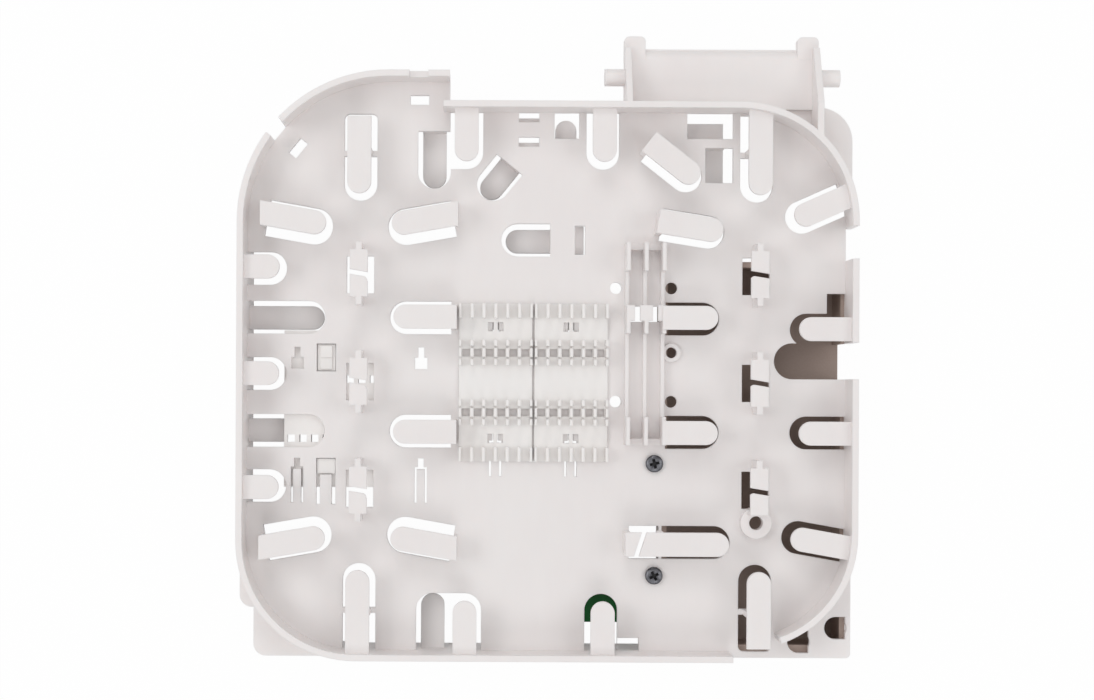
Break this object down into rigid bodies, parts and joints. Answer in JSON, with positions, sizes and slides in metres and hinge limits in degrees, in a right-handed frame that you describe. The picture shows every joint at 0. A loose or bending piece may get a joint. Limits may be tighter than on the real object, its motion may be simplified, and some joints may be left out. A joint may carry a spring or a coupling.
{
  "type": "fibre splice closure",
  "caption": "Double-sided hinged splice tray with rounded walls, fibre retaining fingers, clip-in splice holders, splitter channels, a rear cover and an optical adapter.",
  "frame": {"origin": "middle of the bounding box, at the underside of the skirts and rear cover", "axes": "+X to the right and +Y towards the hinge when looking into the open side, +Z out of the open side"},
  "size_m": [0.197, 0.2, 0.03],
  "materials": {
    "tray_plastic": "off-white moulded plastic, satin",
    "holder_plastic": "off-white moulded plastic, satin",
    "cover_plastic": "warm grey moulded plastic",
    "screw_steel": "dark plated steel",
    "adapter_green": "green moulded plastic",
    "latch_plastic": "natural white plastic",
    "sleeve_ceramic": "polished zirconia",
    "clip_steel": "spring steel"
  },
  "bodies": {
    "root": {"splice_tray": "tray_plastic", "splice_holder_left": "holder_plastic", "splice_holder_right": "holder_plastic", "rear_splice_holder": "holder_plastic", "rear_cover": "cover_plastic", "tray_screws": "screw_steel", "adapter_housing": "adapter_green", "adapter_latch_front": "latch_plastic", "adapter_latch_rear": "latch_plastic", "alignment_sleeve": "sleeve_ceramic", "adapter_spring_clip": "clip_steel"}
  },
  "joints": []
}
